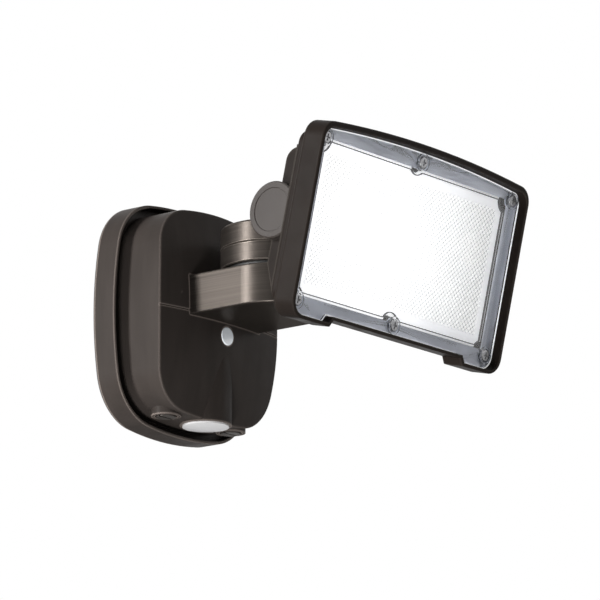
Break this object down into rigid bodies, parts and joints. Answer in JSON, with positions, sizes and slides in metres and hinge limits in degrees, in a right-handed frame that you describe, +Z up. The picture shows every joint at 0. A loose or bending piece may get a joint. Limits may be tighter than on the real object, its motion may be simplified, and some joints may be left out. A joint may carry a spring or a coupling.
{
  "type": "motion sensor security light",
  "caption": "Dark bronze motion sensor security light: squared oval wall base with a downward sensor, flat swivel arm and a wide tilting LED floodlight head",
  "frame": {"origin": "middle of the base on the wall plane, where the gasket meets the wall", "axes": "+Z up, +X to the right seen from the front, front towards -Y, the wall behind at +Y"},
  "size_m": [0.211, 0.2167, 0.1608],
  "materials": {
    "bronze_shell": "satin",
    "bronze_arm": "satin",
    "bronze_head": "satin",
    "foam": "matte",
    "zinc_steel": "brushed",
    "dark_screw": "satin",
    "bright_screw": "polished",
    "milky_lens": "satin",
    "pale_window": "gloss",
    "board_green": "matte",
    "black_plastic": "matte",
    "blue_plastic": "matte",
    "nylon": "matte",
    "board_white": "matte",
    "led_yellow": "gloss",
    "white_pan": "gloss",
    "prism_white": "satin",
    "clear_plate": "clear",
    "seal_grey": "matte"
  },
  "bodies": {
    "base": {"wall_gasket": "foam", "mounting_strap": "zinc_steel", "base_tray": "bronze_shell", "tray_screws": "zinc_steel", "front_cover": "bronze_shell", "cover_screws": "dark_screw", "sensor_lens": "milky_lens", "sensor_retainer": "black_plastic", "pir_sensor": "zinc_steel", "indicator_window": "pale_window", "control_board": "board_green", "board_screws": "zinc_steel", "relay": "blue_plastic", "terminal_block": "nylon", "swivel_arm": "bronze_arm", "arm_screws": "zinc_steel", "swivel_post": "zinc_steel", "friction_washer": "black_plastic", "spring_washer": "zinc_steel", "swivel_nut": "zinc_steel"},
    "swivel": {"swivel_body": "bronze_arm", "swivel_cap": "bronze_arm", "tilt_washers": "black_plastic"},
    "head": {"head_housing": "bronze_head", "tilt_bolt": "zinc_steel", "tilt_nut": "zinc_steel", "pivot_cap_right": "bronze_arm", "pivot_cap_left": "bronze_arm", "driver_module": "black_plastic", "led_board": "board_white", "led_chips": "led_yellow", "reflector": "white_pan", "prismatic_panel": "prism_white", "glass_gasket": "seal_grey", "clear_lens": "clear_plate", "lens_screws": "bright_screw"}
  },
  "joints": [
    {"name": "swivel", "type": "hinge", "parent": "base", "child": "swivel", "pos_m": [0, -0.092, 0.036], "axis": [0, 0, 1], "range_deg": [-50, 50]},
    {"name": "tilt", "type": "hinge", "parent": "swivel", "child": "head", "pos_m": [0, -0.142, 0.0422], "axis": [1, 0, 0], "range_deg": [-45, 25]}
  ]
}
